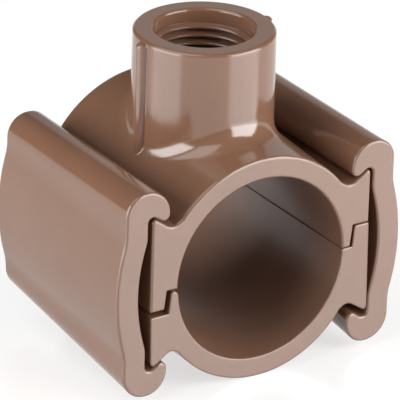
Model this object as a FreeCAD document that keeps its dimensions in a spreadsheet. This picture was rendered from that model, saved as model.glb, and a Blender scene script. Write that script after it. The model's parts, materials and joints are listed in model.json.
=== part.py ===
import FreeCAD, Part
import Sketcher
import math
import os
import re

# Tapping saddle for a 40 mm plastic pipe: two moulded half rings that close round the pipe, a
# threaded branch boss on the upper one, a rubber ring round the branch hole, and two tapered
# C-section locks that are driven along the lugs and pull the halves together.
# Frame: the pipe axis is Y, the branch axis is +Z, and the origin is where the two axes cross.
# The locks' wide ends face -Y, and they come off towards +Y.

# Driving dimensions: alias, value in millimetres or degrees, what it is
SIZES = (
    ("bore_radius", 20.0, "pipe bore"),
    ("body_length", 47.8, "both halves, along the pipe"),
    ("upper_wall", 4.5, "upper half ring"),
    ("lower_wall", 4.2, "lower half ring"),
    ("crown_rise", 3.0, "rise of the upper half's outside from its front end to its back end"),
    ("rim_break", 0.3, "edges of the end faces"),
    ("boss_height", 44.65, "boss top above the pipe axis"),
    ("boss_radius", 14.75, "boss at its top"),
    ("boss_draft", 0.45, "draft of the boss, degrees"),
    ("boss_fillet", 4.5, "boss into the ring"),
    ("boss_rim_break", 0.45, "outer edge of the boss top"),
    ("rib_radius", 1.4, "half-round ribs on the boss"),
    ("rib_proud", 1.5, "ribs out from the boss, at its top"),
    ("rib_drop", 0.65, "rib top below the boss top"),
    ("rib_break", 0.35, "edge of the rib tops"),
    ("thread_radius", 10.48, "root of the branch thread"),
    ("thread_depth", 17.2, "branch bore down to its shoulder"),
    ("passage_radius", 8.0, "hole from the branch to the pipe"),
    ("mouth_break", 0.4, "inner edge of the boss top"),
    ("seal_inner", 10.4, "seal groove, inner radius"),
    ("seal_width", 2.8, "seal groove, across"),
    ("seal_depth", 1.9, "seal groove, into the wall"),
    ("seal_gap", 0.1, "seal to its groove"),
    ("lug_proud", 1.9, "lug sides out from the upper half ring"),
    ("upper_crest", 17.1, "sharp crest of the upper lugs"),
    ("lower_crest", 16.25, "sharp crest of the lower lugs at the wide end"),
    ("flank_angle", 34.4, "lug flanks from level, degrees"),
    ("flank_run", 4.9, "lug flanks, across, down to the notch beside the ring"),
    ("notch_lean", 5.2, "notch wall, in under the ring's skin"),
    ("notch_height", 3.4, "notch wall, towards the crown"),
    ("wedge_rise", 5.7, "rise of the lower lugs and lips over the length"),
    ("notch_round", 2.1, "lug flank into the ring"),
    ("lug_round", 0.7, "lug crests"),
    ("step_wall", 2.5, "bore to the split's outer blocks, at the bore's middle"),
    ("step_lean", 0.6, "lean of the step's sides over its height"),
    ("step_height", 4.75, "tongue of each half"),
    ("step_round", 0.45, "corners of the step"),
    ("tongue_round", 0.9, "bore side of the lower half's tongue"),
    ("split_gap", 0.5, "between the halves under the upper half's tongue"),
    ("tongue_gap", 0.1, "between the halves over the lower half's tongue"),
    ("block_gap", 0.67, "between the halves outside the step"),
    ("tongue_play_right", 0.5, "beside the upper half's tongue"),
    ("tongue_play_left", 1.0, "beside the lower half's tongue"),
    ("lower_turn", 1.1, "lower half turned about the pipe in its play, degrees"),
    ("lock_gap_right", 0.6, "lug side to the right lock's web"),
    ("lock_gap_left", 0.95, "lug side to the left lock's web, which sits further out in its play"),
    ("lock_wall", 5.2, "web of the lock"),
    ("lip_reach", 5.15, "lips, in from the web"),
    ("lip_gap", 0.35, "upper lip over the lug flank"),
    ("lower_lip_gap", 1.25, "lower lip under the lug flank"),
    ("lip_height", 5.7, "lock's top above the lug crest"),
    ("lower_lip_height", 6.45, "lock's bottom below the lug crest"),
    ("bow_angle", 14.6, "slant of the bowed web, degrees"),
    ("bow_half", 12.87, "half height of the bow"),
    ("bow_round", 42.0, "crown of the bow"),
    ("bow_blend", 11.0, "bow into the straight ends, outside"),
    ("inner_blend", 5.0, "bow into the straight ends, inside"),
    ("upper_nose_round", 5.4, "inner side of the lock's top"),
    ("upper_heel_round", 4.7, "outer side of the lock's top"),
    ("lower_nose_round", 4.8, "inner side of the lock's bottom"),
    ("lower_heel_round", 5.4, "outer side of the lock's bottom"),
    ("tip_round", 1.4, "tips of the lips"),
    ("root_round", 1.1, "inner corners of the lock"),
    ("beyond", 5.0, "how far cutting tools reach past the solid"),
)
ALIASES = {alias for alias, value, note in SIZES}
CLOSE = 0.01    # mm within which two places count as the same

# Shared places, as expressions
UPPER_RADIUS = "(bore_radius + upper_wall)"
LOWER_RADIUS = "(bore_radius + lower_wall)"
LUG_SIDE = "(bore_radius + upper_wall + lug_proud)"
STEP_SIDE = "(bore_radius + step_wall)"
FLANK_DROP = "flank_run * tan(flank_angle)"
BLOCK_HEIGHT = "(step_height - block_gap)"
BLOCK_SIDE = f"({STEP_SIDE} + step_lean * {BLOCK_HEIGHT} / step_height)"
CLEAR_SIDE = f"({LUG_SIDE} + beyond)"

doc = FreeCAD.newDocument("tapping_saddle")
sheet = doc.addObject("Spreadsheet::Sheet", "sizes")
for row, (alias, value, note) in enumerate(SIZES, start=1):
    sheet.set(f"A{row}", note)
    sheet.set(f"B{row}", str(value))
    sheet.setAlias(f"B{row}", alias)
doc.recompute()


def size(alias):
    """A driving dimension as a number."""
    return float(sheet.get(alias))


def formula(text):
    """An expression on the sheet, written with the bare aliases."""
    return re.sub(r"[a-z_]+", lambda word: f"sizes.{word[0]}" if word[0] in ALIASES else word[0], text)


def bind(thing, **properties):
    """Binds properties to expressions; a double underscore stands for a dot."""
    for name, text in properties.items():
        thing.setExpression(name.replace("__", "."), formula(text))


def new_body(label):
    body = doc.addObject("PartDesign::Body", label)
    body.Label = label
    return body


def new_sketch(body, name, role, offset="0"):
    """A sketch on one of the body's origin planes, moved along the plane's normal."""
    sketch = body.newObject("Sketcher::SketchObject", name)
    origin_plane = next(feature for feature in body.Origin.OriginFeatures if feature.Role == role)
    sketch.AttachmentSupport = [(origin_plane, "")]
    sketch.MapMode = "FlatFace"
    bind(sketch, AttachmentOffset__Base__z=offset)
    return sketch


def hold_point(sketch, element, point, across, up, near):
    """Places a point of the sketch by expressions; a bare 0 puts it on the axis."""
    for kind, axis, text, start in (("DistanceX", -2, across, near.x), ("DistanceY", -1, up, near.y)):
        if text == "0":
            sketch.addConstraint(Sketcher.Constraint("PointOnObject", element, point, axis))
            continue
        index = sketch.addConstraint(Sketcher.Constraint(kind, -1, 1, element, point, start))
        bind(sketch, **{f"Constraints[{index}]": text})


def circle_sketch(body, name, role, radius, centres=(("0", "0"),)):
    sketch = new_sketch(body, name, role)
    for i, (across, up) in enumerate(centres):
        start = FreeCAD.Vector(i, i, 0)
        sketch.addGeometry(Part.Circle(start, FreeCAD.Vector(0, 0, 1), 1.0))
        rim = sketch.addConstraint(Sketcher.Constraint("Radius", i, 1.0))
        bind(sketch, **{f"Constraints[{rim}]": radius})
        hold_point(sketch, i, 3, across, up, start)
    return sketch


def polygon_sketch(body, name, role, corners, offset="0"):
    """A closed outline whose corners are pairs of expressions."""
    sketch = new_sketch(body, name, role, offset)
    count = len(corners)
    turn = 2 * math.pi / count
    start = [FreeCAD.Vector(math.cos(turn * i), math.sin(turn * i)) for i in range(count)]
    for i in range(count):
        sketch.addGeometry(Part.LineSegment(start[i], start[(i + 1) % count]))
    for i in range(count):
        sketch.addConstraint(Sketcher.Constraint("Coincident", i, 2, (i + 1) % count, 1))
    for i, (across, up) in enumerate(corners):
        hold_point(sketch, i, 1, across, up, start[i])
    return sketch


def extrude(body, kind, name, sketch, length, side="Symmetric"):
    """A Pad or Pocket of the sketch."""
    before = body.Tip.Shape.Volume if body.Tip else 0.0
    feature = body.newObject(f"PartDesign::{kind}", name)
    feature.Profile = sketch
    feature.SideType = side
    bind(feature, Length=length)
    doc.recompute()
    if (kind == "Pocket") != (feature.Shape.Volume < before):
        raise RuntimeError(f"{name} took nothing off, or added nothing")
    return feature


def extrude_rising(body, name, sketch, rise):
    """A Pad from the front face to the back one, which climbs by the rise on its way."""
    slope = new_sketch(body, f"{name}_slope", "YZ_Plane")
    ends = (FreeCAD.Vector(-1, 0, 0), FreeCAD.Vector(1, 1, 0))
    slope.addGeometry(Part.LineSegment(*ends))
    hold_point(slope, 0, 1, "-body_length / 2", "0", ends[0])
    hold_point(slope, 0, 2, "body_length / 2", rise, ends[1])
    doc.recompute()
    pad = body.newObject("PartDesign::Pad", name)
    pad.Profile = sketch
    pad.ReferenceAxis = (slope, ["Edge1"])
    pad.AlongSketchNormal = True
    bind(pad, Length="body_length")
    doc.recompute()
    return pad


def dress_edges(body, kind, name, wanted, **amount):
    """A Fillet or Chamfer on the edges of the body's tip that the test picks."""
    tip = body.Tip
    names = [f"Edge{i}" for i, edge in enumerate(tip.Shape.Edges, start=1) if wanted(edge)]
    if not names:
        raise RuntimeError(f"{name} finds no edge")
    feature = body.newObject(f"PartDesign::{kind}", name)
    feature.Base = (tip, names)
    bind(feature, **amount)
    doc.recompute()


def round_edges(body, name, radius, wanted):
    dress_edges(body, "Fillet", name, wanted, Radius=radius)


def break_edges(body, name, across, wanted):
    dress_edges(body, "Chamfer", name, wanted, Size=across)


def middle(edge):
    return edge.valueAt((edge.FirstParameter + edge.LastParameter) / 2)


def front_end(edge):
    """Front end of an edge that runs from end face to end face, or None."""
    ends = sorted((vertex.Point for vertex in edge.Vertexes), key=lambda point: point.y)
    if len(ends) == 2 and abs(ends[1].y - ends[0].y - size("body_length")) < CLOSE:
        return ends[0]
    return None


def at_corners(sketch, picks):
    """Picks the lengthwise edges that start at these corners of an outline."""
    corners = [sketch.Geometry[i].StartPoint for i in picks]

    def wanted(edge):
        front = front_end(edge)
        return front is not None and any(
            math.hypot(front.x - corner.x, front.z - corner.y) < CLOSE for corner in corners)
    return wanted


def on_end_faces(edge):
    half = size("body_length") / 2
    points = [vertex.Point for vertex in edge.Vertexes] + [middle(edge)]
    return all(abs(point.y - half) < CLOSE for point in points) or (
        all(abs(point.y + half) < CLOSE for point in points))


def lug_corners(crest, side):
    """Both lugs in section, above (side "") or below ("-"): crests, flanks down to the notches, and the
    notch walls that lead under the ring's skin; the lugs' sides run on to past the split."""
    notch = f"({LUG_SIDE} - flank_run)"
    under = f"({notch} - notch_lean)"
    notch_level = f"{side}({crest} - {FLANK_DROP})"
    under_level = f"{side}({crest} - {FLANK_DROP} + notch_height)"
    past_split = "-step_height" if side == "" else "step_height"
    return (
        (LUG_SIDE, f"{side}{crest}"), (LUG_SIDE, past_split), (f"-{LUG_SIDE}", past_split),
        (f"-{LUG_SIDE}", f"{side}{crest}"), (f"-{notch}", notch_level), (f"-{under}", under_level),
        (under, under_level), (notch, notch_level),
    )


def make_upper_half():
    """The half ring with the branch boss, and its plain lugs."""
    body = new_body("upper_half_moulding")
    lugs = polygon_sketch(body, "upper_lug_outline", "XZ_Plane", lug_corners("upper_crest", ""))
    extrude(body, "Pad", "upper_lugs", lugs, "body_length")
    round_edges(body, "upper_notches", "notch_round", at_corners(lugs, (4, 7)))
    round_edges(body, "upper_crests", "lug_round", at_corners(lugs, (0, 3)))

    # The ring's outside climbs to the back, so it is drawn too long and cut to length
    ring = body.newObject("PartDesign::AdditiveCylinder", "upper_ring")
    bind(ring, Radius=UPPER_RADIUS, Height="2 * body_length",
         Placement__Base__y="-body_length", Placement__Base__z="-crown_rise / 2")
    ring.Placement = FreeCAD.Placement(ring.Placement.Base, FreeCAD.Vector(-1, 0, 0), 90)
    bind(ring, Placement__Rotation__Angle="90 deg - atan(crown_rise / body_length)")
    doc.recompute()
    for name, end, past in (("upper_front_end", "-body_length / 2", "-2 * body_length"),
                            ("upper_back_end", "body_length / 2", "2 * body_length")):
        waste = polygon_sketch(body, f"{name}_outline", "YZ_Plane", (
            (end, f"-2 * {CLEAR_SIDE}"), (past, f"-2 * {CLEAR_SIDE}"),
            (past, f"2 * {CLEAR_SIDE}"), (end, f"2 * {CLEAR_SIDE}")))
        extrude(body, "Pocket", name, waste, f"2 * {CLEAR_SIDE}")

    # The boss, in two halves that meet at its front and back, as the two halves of its mould do
    for name, start in (("boss_right", -90), ("boss_left", 90)):
        boss = body.newObject("PartDesign::AdditiveCone", name)
        boss.Angle = 180
        boss.Placement = FreeCAD.Placement(FreeCAD.Vector(), FreeCAD.Vector(0, 0, 1), start)
        bind(boss, Radius1="boss_radius + boss_height * tan(boss_draft)", Radius2="boss_radius",
             Height="boss_height")
        doc.recompute()
    ring_radius = size("bore_radius") + size("upper_wall")
    draft = math.tan(math.radians(size("boss_draft")))
    tilt = math.atan(size("crown_rise") / size("body_length"))

    def on_ring(edge):
        point = middle(edge)
        off_axis = math.cos(tilt) * point.z - math.sin(tilt) * (point.y + size("body_length") / 2)
        return abs(math.hypot(point.x, off_axis) - ring_radius) < CLOSE

    def boss_foot(edge):
        point = middle(edge)
        boss_here = size("boss_radius") + (size("boss_height") - point.z) * draft
        return on_ring(edge) and abs(math.hypot(point.x, point.y) - boss_here) < CLOSE
    round_edges(body, "boss_foot", "boss_fillet", boss_foot)

    rib_centre = "(boss_radius + rib_proud - rib_radius)"
    ribs = circle_sketch(body, "rib_outline", "XY_Plane", "rib_radius",
                         ((rib_centre, "0"), (f"-{rib_centre}", "0")))
    extrude(body, "Pad", "ribs", ribs, "boss_height - rib_drop", "One side")
    rib_top = size("boss_height") - size("rib_drop")
    break_edges(body, "rib_tops", "rib_break", lambda edge: abs(middle(edge).z - rib_top) < CLOSE
                and math.hypot(middle(edge).x, middle(edge).y) > size("boss_radius") + 2 * CLOSE)

    # Below the split, apart from the tongue on the right and the block on the left
    split = polygon_sketch(body, "upper_split_outline", "XZ_Plane", (
        (CLEAR_SIDE, "step_height"),
        (f"({STEP_SIDE} - tongue_play_right + step_lean)", "step_height"),
        (f"({STEP_SIDE} - tongue_play_right)", "0"),
        (f"-{STEP_SIDE}", "0"),
        (f"-{BLOCK_SIDE}", f"-{BLOCK_HEIGHT}"),
        (f"-{CLEAR_SIDE}", f"-{BLOCK_HEIGHT}"),
        (f"-{CLEAR_SIDE}", f"-({UPPER_RADIUS} + beyond)"),
        (CLEAR_SIDE, f"-({UPPER_RADIUS} + beyond)"),
    ))
    extrude(body, "Pocket", "upper_split", split, "body_length + beyond")
    round_edges(body, "upper_step_corners", "step_round", at_corners(split, (2, 4)))

    bore = circle_sketch(body, "upper_bore_outline", "XZ_Plane", "bore_radius")
    extrude(body, "Pocket", "upper_bore", bore, "body_length + beyond")

    branch = polygon_sketch(body, "branch_outline", "XZ_Plane", (
        ("0", "0"), ("passage_radius", "0"), ("passage_radius", "(boss_height - thread_depth)"),
        ("thread_radius", "(boss_height - thread_depth)"), ("thread_radius", "(boss_height + beyond)"),
        ("0", "(boss_height + beyond)"),
    ))
    before = body.Tip.Shape.Volume
    bore_of_branch = body.newObject("PartDesign::Groove", "branch_bore")
    bore_of_branch.Profile = branch
    bore_of_branch.ReferenceAxis = (branch, ["V_Axis"])
    bore_of_branch.Angle = 360
    doc.recompute()
    if bore_of_branch.Shape.Volume > before - 1:
        raise RuntimeError("branch_bore took nothing off")

    def top_edge(radius):
        return lambda edge: abs(middle(edge).z - size("boss_height")) < CLOSE and (
            abs(math.hypot(middle(edge).x, middle(edge).y) - size(radius)) < CLOSE)
    break_edges(body, "boss_rim", "boss_rim_break", top_edge("boss_radius"))
    break_edges(body, "boss_mouth", "mouth_break", top_edge("thread_radius"))
    break_edges(body, "upper_rims", "rim_break", lambda edge: on_end_faces(edge) and not on_ring(edge))
    break_edges(body, "crown_rims", "rim_break", lambda edge: on_end_faces(edge) and on_ring(edge))
    return body


def make_lower_half():
    """The plain half ring, whose lugs rise towards the locks' narrow ends."""
    body = new_body("lower_half")
    lugs = polygon_sketch(body, "lower_lug_outline", "XZ_Plane", lug_corners("lower_crest", "-"),
                          "body_length / 2")
    extrude_rising(body, "lower_lugs", lugs, "wedge_rise")
    round_edges(body, "lower_notches", "notch_round", at_corners(lugs, (4, 7)))
    round_edges(body, "lower_crests", "lug_round", at_corners(lugs, (0, 3)))

    ring = circle_sketch(body, "lower_ring_outline", "XZ_Plane", LOWER_RADIUS)
    extrude(body, "Pad", "lower_ring", ring, "body_length")

    # Above the split, apart from the block on the right and the tongue on the left
    tongue_side = f"({STEP_SIDE} - tongue_play_left)"
    split = polygon_sketch(body, "lower_split_outline", "XZ_Plane", (
        (CLEAR_SIDE, BLOCK_HEIGHT),
        (BLOCK_SIDE, BLOCK_HEIGHT),
        (STEP_SIDE, "-split_gap"),
        ("0", "-split_gap"),
        ("0", "-tongue_gap"),
        (f"-{tongue_side}", "-tongue_gap"),
        (f"-({tongue_side} + step_lean)", "-step_height"),
        (f"-{CLEAR_SIDE}", "-step_height"),
        (f"-{CLEAR_SIDE}", f"({UPPER_RADIUS} + beyond)"),
        (CLEAR_SIDE, f"({UPPER_RADIUS} + beyond)"),
    ))
    extrude(body, "Pocket", "lower_split", split, "body_length + beyond")
    round_edges(body, "lower_step_corners", "step_round", at_corners(split, (1, 5)))

    bore = circle_sketch(body, "lower_bore_outline", "XZ_Plane", "bore_radius")
    extrude(body, "Pocket", "lower_bore", bore, "body_length + beyond")
    bore_radius = size("bore_radius")
    round_edges(body, "tongue_edge", "tongue_round", lambda edge: front_end(edge) is not None
                and front_end(edge).x < 0
                and abs(math.hypot(front_end(edge).x, front_end(edge).z) - bore_radius) < CLOSE)

    body.Placement = FreeCAD.Placement(FreeCAD.Vector(), FreeCAD.Vector(0, -1, 0), size("lower_turn"))
    bind(body, Placement__Rotation__Angle="lower_turn")
    return body


def lock_outlines(gap):
    """The lock's section at its wide end: bowed web, upper lip and lower lip, each with the rise
    it makes over the length. The gap is that from the lug's side to the web."""
    inner = f"({LUG_SIDE} + {gap})"
    outer = f"({inner} + lock_wall)"
    tip = f"({inner} - lip_reach)"
    drop = "lip_reach * tan(flank_angle)"
    top = "(upper_crest + lip_height)"
    top_root = f"(upper_crest + {gap} * tan(flank_angle) + lip_gap)"
    bottom = "-(lower_crest + lower_lip_height)"
    bottom_root = f"-(lower_crest + {gap} * tan(flank_angle) + lower_lip_gap)"
    inner_half = "(bow_half - lock_wall * tan(bow_angle / 2))"
    top_join = f"({top_root} + {inner_half} + wedge_rise / 2) / 2"
    bottom_join = f"({bottom_root} - {inner_half} - wedge_rise / 2) / 2"
    web = (
        (outer, top_root), (outer, "bow_half"), (f"({outer} + bow_half * tan(bow_angle))", "0"),
        (outer, "-bow_half"), (outer, bottom_root), (inner, bottom_root), (inner, f"-{inner_half}"),
        (f"({inner} + {inner_half} * tan(bow_angle))", "0"), (inner, inner_half), (inner, top_root),
    )
    upper_lip = (
        (tip, f"({top_root} - {drop})"), (tip, top), (outer, top), (outer, top_join),
        (inner, top_join), (inner, top_root),
    )
    lower_lip = (
        (tip, f"({bottom_root} + {drop})"), (tip, bottom), (outer, bottom), (outer, bottom_join),
        (inner, bottom_join), (inner, bottom_root),
    )
    return (("web", web, "wedge_rise / 2"), ("upper_lip", upper_lip, "0"),
            ("lower_lip", lower_lip, "wedge_rise"))


def make_lock(label, side, gap):
    """A tapered C section on the right (side "") or the left ("-"): the upper lip runs level, the lower
    one climbs by the wedge's rise, and the web's bow stays half way between them."""
    body = new_body(label)
    outlines = {}
    for name, corners, rise in lock_outlines(gap):
        corners = tuple((f"{side}{across}", up) for across, up in corners)
        outlines[name] = polygon_sketch(body, f"{label}_{name}_outline", "XZ_Plane", corners,
                                        "body_length / 2")
        extrude_rising(body, f"{label}_{name}", outlines[name], rise)
    rounds = (
        ("crown", "web", (2,), "bow_round"),
        ("inner_crown", "web", (7,), "bow_round - lock_wall"),
        ("blends", "web", (1, 3), "bow_blend"),
        ("inner_blends", "web", (6, 8), "inner_blend"),
        ("upper_nose", "upper_lip", (1,), "upper_nose_round"),
        ("lower_nose", "lower_lip", (1,), "lower_nose_round"),
        ("upper_heel", "upper_lip", (2,), "upper_heel_round"),
        ("lower_heel", "lower_lip", (2,), "lower_heel_round"),
        ("upper_tip", "upper_lip", (0,), "tip_round"),
        ("lower_tip", "lower_lip", (0,), "tip_round"),
        ("upper_root", "upper_lip", (5,), "root_round"),
        ("lower_root", "lower_lip", (5,), "root_round"),
    )
    for name, outline, picks, radius in rounds:
        round_edges(body, f"{label}_{name}", radius, at_corners(outlines[outline], picks))
    break_edges(body, f"{label}_rims", "rim_break", on_end_faces)
    return body


def cylinder(name, radius, height, along_pipe=False):
    """A cylinder up from the origin, or along the pipe and centred."""
    thing = doc.addObject("Part::Cylinder", name)
    bind(thing, Radius=radius, Height=height)
    if along_pipe:
        thing.Placement = FreeCAD.Placement(FreeCAD.Vector(), FreeCAD.Vector(1, 0, 0), -90)
        bind(thing, Placement__Base__y=f"-{height} / 2")
    return thing


def boolean(kind, name, base, tool):
    thing = doc.addObject(f"Part::{kind}", name)
    thing.Base = base
    thing.Tool = tool
    return thing


def saddle_ring(name, play):
    """A ring round the branch axis that follows the bore, under a roof parallel to the bore."""
    outer = cylinder(f"{name}_outer", f"seal_inner + seal_width - {play}", "bore_radius + beyond")
    inner = cylinder(f"{name}_inner", f"seal_inner + {play}", "bore_radius + beyond")
    roof = cylinder(f"{name}_roof", f"bore_radius + seal_depth - {play}", "body_length", True)
    tube = boolean("Cut", f"{name}_tube", outer, inner)
    return boolean("Common", f"{name}_body", tube, roof)


def make_sealed_halves():
    """The upper half with its seal groove, and the rubber ring that fills it flush."""
    groove = saddle_ring("groove", "0")
    upper = boolean("Cut", "upper_half", make_upper_half(), groove)
    ring = saddle_ring("seal", "seal_gap")
    pipe_side = cylinder("seal_pipe_side", "bore_radius", "body_length", True)
    seal = boolean("Cut", "branch_seal", ring, pipe_side)
    return upper, seal


def checked(pieces):
    """Stops if any object failed, or a piece isn't one sound solid."""
    doc.recompute()
    failed = [thing.Name for thing in doc.Objects if {"Invalid", "Error"} & set(thing.State)]
    if failed:
        raise RuntimeError(f"failed objects: {failed}")
    for piece in pieces:
        if piece.Shape.isNull() or not piece.Shape.isValid() or len(piece.Shape.Solids) != 1:
            raise RuntimeError(f"{piece.Label} is not one valid solid")
    return pieces


upper_half, branch_seal = make_sealed_halves()
lower_half = make_lower_half()
left_lock = make_lock("left_lock", "-", "lock_gap_left")
right_lock = make_lock("right_lock", "", "lock_gap_right")

os.makedirs("parts", exist_ok=True)
for piece in checked((upper_half, lower_half, branch_seal, left_lock, right_lock)):
    piece.Shape.exportStep(f"parts/{piece.Label}.step")
    box = piece.Shape.BoundBox
    print(f"{piece.Label}: {piece.Shape.Volume:.0f} mm3, x {box.XMin:.2f} to {box.XMax:.2f}, "
          f"y {box.YMin:.2f} to {box.YMax:.2f}, z {box.ZMin:.2f} to {box.ZMax:.2f}")
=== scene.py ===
import json
import math

import bpy
import bmesh
from mathutils import Matrix, Vector


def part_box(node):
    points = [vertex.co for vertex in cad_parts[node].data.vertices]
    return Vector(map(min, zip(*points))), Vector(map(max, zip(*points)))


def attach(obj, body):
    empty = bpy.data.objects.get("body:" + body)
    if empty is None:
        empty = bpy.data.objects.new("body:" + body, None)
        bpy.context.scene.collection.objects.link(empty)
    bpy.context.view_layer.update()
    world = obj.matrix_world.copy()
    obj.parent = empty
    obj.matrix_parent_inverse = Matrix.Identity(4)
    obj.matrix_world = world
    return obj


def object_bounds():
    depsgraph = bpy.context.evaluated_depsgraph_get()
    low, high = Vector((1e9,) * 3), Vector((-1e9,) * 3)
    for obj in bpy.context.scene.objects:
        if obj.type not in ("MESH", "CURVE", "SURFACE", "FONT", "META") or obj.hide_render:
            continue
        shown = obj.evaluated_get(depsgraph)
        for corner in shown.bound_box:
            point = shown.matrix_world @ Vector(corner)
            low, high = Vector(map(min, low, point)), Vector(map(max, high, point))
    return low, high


# The looks of a moulded plastic tapping saddle: its plastic and rubber, the ridge of its branch
# thread, and a pale studio with the camera where the photograph was taken from.
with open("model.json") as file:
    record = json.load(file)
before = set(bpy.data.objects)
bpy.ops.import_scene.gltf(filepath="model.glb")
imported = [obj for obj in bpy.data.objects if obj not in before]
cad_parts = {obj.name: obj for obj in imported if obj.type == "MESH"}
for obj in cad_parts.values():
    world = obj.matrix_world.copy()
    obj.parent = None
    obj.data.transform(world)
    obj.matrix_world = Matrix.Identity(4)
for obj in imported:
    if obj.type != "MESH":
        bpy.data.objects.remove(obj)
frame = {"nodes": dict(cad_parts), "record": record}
cad_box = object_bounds()

MM = 0.001
IMAGE_PX = 400          # the photograph's width and height
SENSOR_MM = 36.0

# Camera: where it looks from, in degrees, mm and pixels, worked out from the photograph
CAMERA_AZIMUTH = 33.008
CAMERA_ELEVATION = 24.257
CAMERA_ROLL = 1.734
CAMERA_DISTANCE = 997.0
CAMERA_FOCAL_PX = 4788.4
CAMERA_ASIDE = (0.292, 5.435)   # from the line of sight through the origin: right, up
CAMERA_CLIP = (0.1, 10.0)       # metres

# Colours, linear
MOULDING_COLOUR = (0.197, 0.099, 0.060)
SEAL_COLOUR = (0.018, 0.018, 0.019)
FLOOR_COLOUR = (0.40, 0.40, 0.40)

# Surfaces. Noise scales are per metre, and nearly all of a noise lies in NOISE_RANGE
NOISE_RANGE = (0.3, 0.7)
SPECULAR_LEVEL = 1.0
CLOUDS = 0.05           # how far the moulding's colour drifts either way
CLOUD_SCALE = 45.0
CLOUD_DETAIL = 4.0
CLOUD_ROUGHNESS = 0.55
MOULDING_IOR = 1.5
POLISH = (0.12, 0.18)   # roughness of the moulding's outside
POLISH_SCALE = 130.0
BORE_ROUGHNESS = 0.40   # the pipe bore is left matt
BORE_FADE = (0.1, 0.4)  # mm past the bore's wall, over which the polish takes over
EDGE_ROUND = 0.6        # mm: the finish of the edges that the solids leave sharp
EDGE_SAMPLES = 8
PEEL_SCALE = 500.0
PEEL_DETAIL = 2.0
PEEL_STRENGTH = 0.03
SEAL_ROUGHNESS = (0.55, 0.75)
SEAL_GRAIN_SCALE = 700.0
SEAL_GRAIN_STRENGTH = 0.15
BUMP_HEIGHT = 0.2       # mm
FLOOR_ROUGHNESS = 0.22
FLOOR_IOR = 1.7
FLOOR_GLOW = 0.64       # what lifts the lit floor to white for the camera and for reflections
FLOOR_REACH = 4.0       # metres from the middle to its sides

# Branch thread, mm: the CAD bore is the thread's root
THREAD_PITCH = 1.814
THREAD_HEIGHT = 1.162
THREAD_START = 2.35     # first full crest below the boss top
THREAD_LENGTH = 13.4
THREAD_SINK = 0.05      # how far the ridge reaches into the wall
THREAD_SHOULDER = 0.35  # from the crest's radius out to that of the shoulders beside it
THREAD_WIDTHS = (0.96, 0.42, 0.2)   # of the ridge at the root, shoulders and crest, in pitches
THREAD_RUNOUT = 0.6     # turns over which each end fades into the wall
THREAD_STEPS = 96       # per turn
THREAD_SHARP = 50       # degrees between faces that keep a sharp edge

# Studio: name, azimuth, elevation, distance, size across and up, radiance, in degrees and metres
WORLD_STRENGTH = 0.05
SOFT_BOXES = (
    ("right_box", 37, 0, 0.60, (0.624, 0.60), 6.6),
    ("left_box", -95, 0, 0.60, (0.60, 0.44), 5.8),
    ("upper_left_box", -93, 60, 0.80, (0.8, 0.5), 1.8),
    ("back_box", 145, 0, 1.2, (1.2, 0.7), 0.4),
)


def link(obj):
    bpy.context.scene.collection.objects.link(obj)
    return obj


def mount_radius(name):
    """The radius of one of the record's mounts, in mm."""
    return next(m for m in frame["record"]["mounts"] if m["name"] == name)["dims"]["r_mm"]


def new_material(name):
    """A new material, its node tree and its Principled shader."""
    material = bpy.data.materials.new(name)
    material.use_nodes = True
    tree = material.node_tree
    return material, tree, tree.nodes["Principled BSDF"]


def add_node(tree, kind, **settings):
    """A node with these inputs and properties set."""
    node = tree.nodes.new(kind)
    for key, value in settings.items():
        if key in node.inputs:
            node.inputs[key].default_value = value
        else:
            setattr(node, key, value)
    return node


def object_place(tree):
    return add_node(tree, "ShaderNodeTexCoord").outputs["Object"]


def noise(tree, coordinates, scale, detail=3.0, roughness=0.5):
    node = add_node(tree, "ShaderNodeTexNoise", Scale=scale, Detail=detail, Roughness=roughness)
    tree.links.new(coordinates, node.inputs["Vector"])
    return node.outputs["Fac"]


def spread(tree, value, taken, given):
    """Maps a value from one range, low and high, to another."""
    node = add_node(tree, "ShaderNodeMapRange")
    for key, number in zip(("From Min", "From Max", "To Min", "To Max"), (*taken, *given)):
        node.inputs[key].default_value = number
    tree.links.new(value, node.inputs["Value"])
    return node.outputs["Result"]


def larger(tree, first, second):
    node = add_node(tree, "ShaderNodeMath", operation="MAXIMUM")
    tree.links.new(first, node.inputs[0])
    tree.links.new(second, node.inputs[1])
    return node.outputs["Value"]


def add_bump(tree, shader, height, strength, normal=None):
    """Gives the shader a normal bumped by the height, over another normal if there is one."""
    bump = add_node(tree, "ShaderNodeBump", Strength=strength, Distance=BUMP_HEIGHT * MM)
    tree.links.new(height, bump.inputs["Height"])
    if normal:
        tree.links.new(normal, bump.inputs["Normal"])
    tree.links.new(bump.outputs["Normal"], shader.inputs["Normal"])


def clouded_colour(tree, place):
    """The moulding's brown, drifting a little lighter and darker."""
    clouds = noise(tree, place, CLOUD_SCALE, CLOUD_DETAIL, CLOUD_ROUGHNESS)
    ramp = add_node(tree, "ShaderNodeValToRGB")
    for element, position, shade in zip(ramp.color_ramp.elements, NOISE_RANGE, (1 - CLOUDS, 1 + CLOUDS)):
        element.position = position
        element.color = (*(channel * shade for channel in MOULDING_COLOUR), 1.0)
    tree.links.new(clouds, ramp.inputs["Fac"])
    return ramp.outputs["Color"]


def bore_roughness(tree, place):
    """The matt finish of the pipe bore, and 0 away from its wall."""
    across = add_node(tree, "ShaderNodeVectorMath", operation="MULTIPLY")
    across.inputs[1].default_value = (1, 0, 1)
    tree.links.new(place, across.inputs[0])
    radius = add_node(tree, "ShaderNodeVectorMath", operation="LENGTH")
    tree.links.new(across.outputs["Vector"], radius.inputs[0])
    wall = mount_radius("pipe_bore")
    fade = [(wall + past) * MM for past in BORE_FADE]
    return spread(tree, radius.outputs["Value"], fade, (BORE_ROUGHNESS, 0.0))


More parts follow.
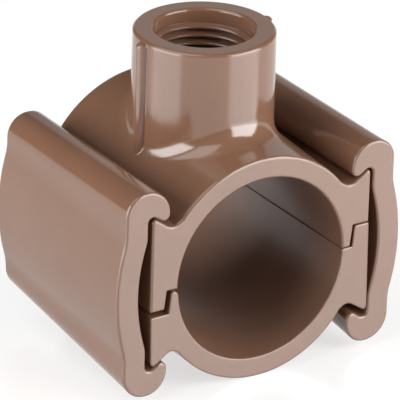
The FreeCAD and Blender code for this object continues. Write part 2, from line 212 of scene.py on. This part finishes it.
def moulding_material():
    """Brown moulded PVC: clouded a little, glossy, with the faint orange peel of a polished mould."""
    material, tree, shader = new_material("brown_moulding")
    place = object_place(tree)
    tree.links.new(clouded_colour(tree, place), shader.inputs["Base Color"])
    polish = spread(tree, noise(tree, place, POLISH_SCALE), NOISE_RANGE, POLISH)
    tree.links.new(larger(tree, polish, bore_roughness(tree, place)), shader.inputs["Roughness"])
    shader.inputs["Specular IOR Level"].default_value = SPECULAR_LEVEL
    shader.inputs["IOR"].default_value = MOULDING_IOR
    edges = add_node(tree, "ShaderNodeBevel", Radius=EDGE_ROUND * MM, samples=EDGE_SAMPLES)
    peel = noise(tree, place, PEEL_SCALE, PEEL_DETAIL)
    add_bump(tree, shader, peel, PEEL_STRENGTH, edges.outputs["Normal"])
    return material


def seal_material():
    """Black rubber with a fine grain."""
    material, tree, shader = new_material("black_rubber")
    grain = noise(tree, object_place(tree), SEAL_GRAIN_SCALE)
    shader.inputs["Base Color"].default_value = (*SEAL_COLOUR, 1.0)
    tree.links.new(spread(tree, grain, NOISE_RANGE, SEAL_ROUGHNESS), shader.inputs["Roughness"])
    add_bump(tree, shader, grain, SEAL_GRAIN_STRENGTH)
    return material


def seen_or_mirrored(tree):
    """1 for the camera's rays and for those that gloss and glass send on, 0 for the light's own."""
    ray = add_node(tree, "ShaderNodeLightPath")
    total = ray.outputs["Is Camera Ray"]
    for kind in ("Is Glossy Ray", "Is Transmission Ray"):
        total = larger(tree, total, ray.outputs[kind])
    return total


def floor_material():
    """Pale satin floor that looks white where the lights reach it."""
    material, tree, shader = new_material("pale_floor")
    shader.inputs["Base Color"].default_value = (*FLOOR_COLOUR, 1.0)
    shader.inputs["Roughness"].default_value = FLOOR_ROUGHNESS
    shader.inputs["Specular IOR Level"].default_value = SPECULAR_LEVEL
    shader.inputs["IOR"].default_value = FLOOR_IOR
    shader.inputs["Emission Color"].default_value = (1, 1, 1, 1)
    tree.links.new(spread(tree, seen_or_mirrored(tree), (0.0, 1.0), (0.0, FLOOR_GLOW)),
                   shader.inputs["Emission Strength"])
    return material


def dress(node, material):
    """Gives a CAD node one material in all its slots."""
    slots = frame["nodes"][node].data.materials
    if not slots:
        slots.append(material)
    for i in range(len(slots)):
        slots[i] = material


def thread_section(root, crest):
    """The ridge's section: how far along the bore from its middle, and its radius there."""
    radii = (root, crest + THREAD_SHOULDER, crest)
    side = [(THREAD_PITCH / 2 * width, radius) for width, radius in zip(THREAD_WIDTHS, radii)]
    return [(-along, radius) for along, radius in side] + side[::-1]


def make_thread(material):
    """The ridge of the female pipe thread, one strip wound down the branch bore."""
    bore_radius = mount_radius("branch_thread")
    root = bore_radius + THREAD_SINK
    section = thread_section(root, bore_radius - THREAD_HEIGHT)
    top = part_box("upper_half")[1].z / MM - THREAD_START
    count = int(THREAD_STEPS * THREAD_LENGTH / THREAD_PITCH)
    build = bmesh.new()
    rows = []
    for i in range(count + 1):
        angle = 2 * math.pi * i / THREAD_STEPS
        middle = top - THREAD_PITCH * i / THREAD_STEPS
        fade = min(1.0, i / THREAD_STEPS / THREAD_RUNOUT, (count - i) / THREAD_STEPS / THREAD_RUNOUT)
        row = []
        for along, radius in section:
            r = root - (root - radius) * fade
            row.append(build.verts.new(
                Vector((r * math.cos(angle), -r * math.sin(angle), middle - along)) * MM))
        rows.append(row)
    for upper, lower in zip(rows, rows[1:]):
        for j in range(len(section)):
            k = (j + 1) % len(section)
            build.faces.new((upper[j], upper[k], lower[k], lower[j]))
    build.faces.new(rows[0])
    build.faces.new(rows[-1])
    bmesh.ops.recalc_face_normals(build, faces=build.faces)
    mesh = bpy.data.meshes.new("branch_thread")
    build.to_mesh(mesh)
    build.free()
    mesh.shade_smooth()
    mesh.set_sharp_from_angle(angle=math.radians(THREAD_SHARP))
    mesh.materials.append(material)
    thread = link(bpy.data.objects.new("branch_thread", mesh))
    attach(thread, "saddle")


def make_floor():
    """A plain floor under the object's lowest point."""
    corners = [(x * FLOOR_REACH, y * FLOOR_REACH, cad_box[0].z)
               for x, y in ((-1, -1), (1, -1), (1, 1), (-1, 1))]
    mesh = bpy.data.meshes.new("floor")
    mesh.from_pydata(corners, [], [(0, 1, 2, 3)])
    mesh.materials.append(floor_material())
    floor = link(bpy.data.objects.new("floor", mesh))


def camera_axes():
    """The camera's directions to its right, up and forward."""
    azimuth, elevation, roll = (math.radians(a) for a in (
        CAMERA_AZIMUTH, CAMERA_ELEVATION, CAMERA_ROLL))
    forward = Vector((math.sin(azimuth) * math.cos(elevation), math.cos(azimuth) * math.cos(elevation),
                      -math.sin(elevation)))
    level = Vector((math.cos(azimuth), -math.sin(azimuth), 0))
    above = level.cross(forward)
    right = math.cos(roll) * level + math.sin(roll) * above
    up = math.cos(roll) * above - math.sin(roll) * level
    return right, up, forward


def make_camera():
    right, up, forward = camera_axes()
    data = bpy.data.cameras.new("camera")
    data.sensor_width = SENSOR_MM
    data.lens = SENSOR_MM * CAMERA_FOCAL_PX / IMAGE_PX
    data.clip_start, data.clip_end = CAMERA_CLIP
    camera = link(bpy.data.objects.new("camera", data))
    place = (right * CAMERA_ASIDE[0] + up * CAMERA_ASIDE[1] - forward * CAMERA_DISTANCE) * MM
    camera.matrix_world = Matrix.Translation(place) @ Matrix((right, up, -forward)).transposed().to_4x4()
    bpy.context.scene.camera = camera


def make_soft_box(name, azimuth, elevation, distance, size, radiance):
    """A soft box that faces the object; azimuth 0 is in front, and 90 to the right.

    At elevation 0 it is upright and stands on the floor."""
    data = bpy.data.lights.new(name, "AREA")
    data.shape = "RECTANGLE"
    data.size, data.size_y = size
    data.energy = radiance * math.pi * size[0] * size[1]
    light = link(bpy.data.objects.new(name, data))
    a, e = math.radians(azimuth), math.radians(elevation)
    away = Vector((math.sin(a) * math.cos(e), -math.cos(a) * math.cos(e), math.sin(e)))
    light.location = away * distance
    if elevation == 0:
        light.location.z = cad_box[0].z + size[1] / 2
    light.rotation_mode = "QUATERNION"
    light.rotation_quaternion = (-away).to_track_quat("-Z", "Y")
    light.visible_camera = False


def make_world():
    world = bpy.data.worlds.new("studio")
    world.use_nodes = True
    background = world.node_tree.nodes["Background"]
    background.inputs["Color"].default_value = (1, 1, 1, 1)
    background.inputs["Strength"].default_value = WORLD_STRENGTH
    bpy.context.scene.world = world


moulding = moulding_material()
for node in ("upper_half", "lower_half", "left_lock", "right_lock"):
    dress(node, moulding)
dress("branch_seal", seal_material())
make_thread(moulding)
make_floor()
make_camera()
make_world()
for soft_box in SOFT_BOXES:
    make_soft_box(*soft_box)
bpy.context.scene.view_settings.view_transform = "Standard"
